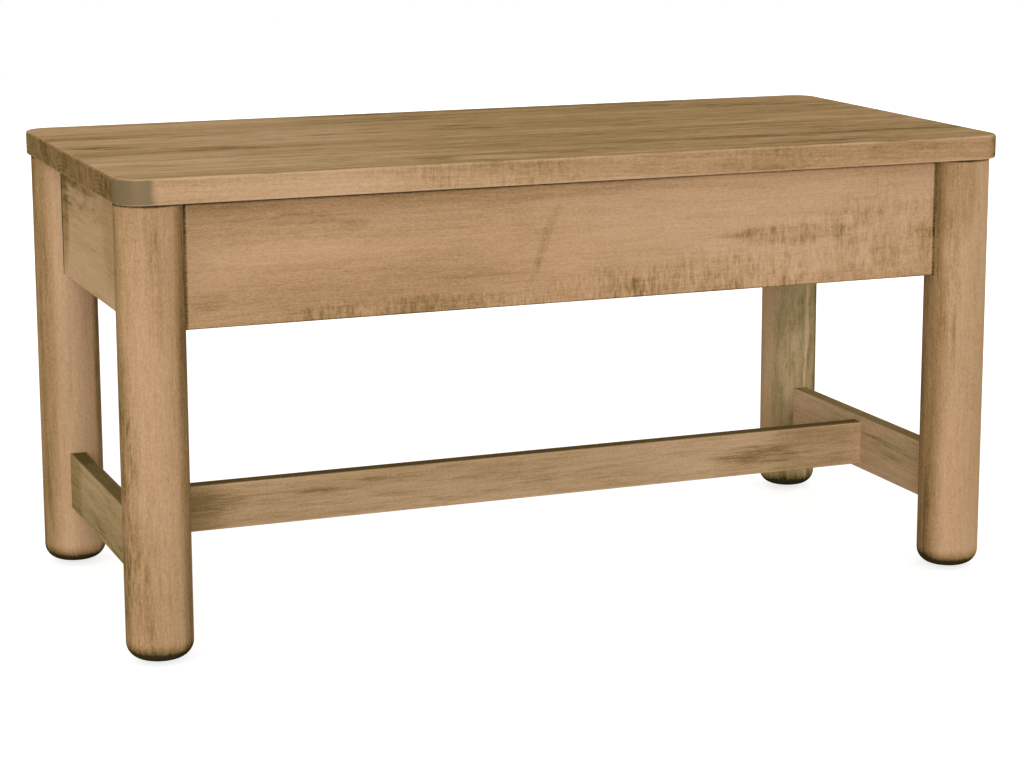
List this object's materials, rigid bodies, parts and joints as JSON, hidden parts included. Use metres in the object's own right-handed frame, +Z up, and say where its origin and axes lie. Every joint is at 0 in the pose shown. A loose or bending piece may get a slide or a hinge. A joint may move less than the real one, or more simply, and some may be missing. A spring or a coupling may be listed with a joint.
{
  "type": "bedroom bench",
  "caption": "Solid wood bench for the foot of a bed: round legs with rounded feet, deep plain aprons, rounded-corner top and an H-shaped stretcher.",
  "frame": {"origin": "on the floor under the middle of the top", "axes": "+X along the bench's length, to the right of someone facing its front; +Y to the back; +Z up"},
  "size_m": [1.012, 0.482, 0.5045],
  "materials": {
    "top_maple": "stained maple, satin lacquer, streaky long grain",
    "leg_maple": "stained maple, turned, satin lacquer",
    "apron_maple": "stained maple, satin lacquer, curly figure",
    "stretcher_maple": "stained maple, satin lacquer",
    "inner_maple": "bare maple, planed",
    "zinc_steel": "zinc-plated steel",
    "glide_plastic": "brown nylon, smooth"
  },
  "bodies": {
    "root": {"top_front_board": "top_maple", "top_second_board": "top_maple", "top_third_board": "top_maple", "top_back_board": "top_maple", "front_left_leg": "leg_maple", "front_right_leg": "leg_maple", "back_left_leg": "leg_maple", "back_right_leg": "leg_maple", "front_apron": "apron_maple", "back_apron": "apron_maple", "left_apron": "apron_maple", "right_apron": "apron_maple", "left_end_stretcher": "stretcher_maple", "right_end_stretcher": "stretcher_maple", "long_stretcher": "stretcher_maple", "cross_rail": "inner_maple", "front_left_corner_block": "inner_maple", "front_right_corner_block": "inner_maple", "back_left_corner_block": "inner_maple", "back_right_corner_block": "inner_maple", "corner_block_screws": "zinc_steel", "top_buttons": "inner_maple", "top_button_screws": "zinc_steel", "cross_rail_screws": "zinc_steel", "glides": "glide_plastic", "glide_nails": "zinc_steel"}
  },
  "joints": []
}
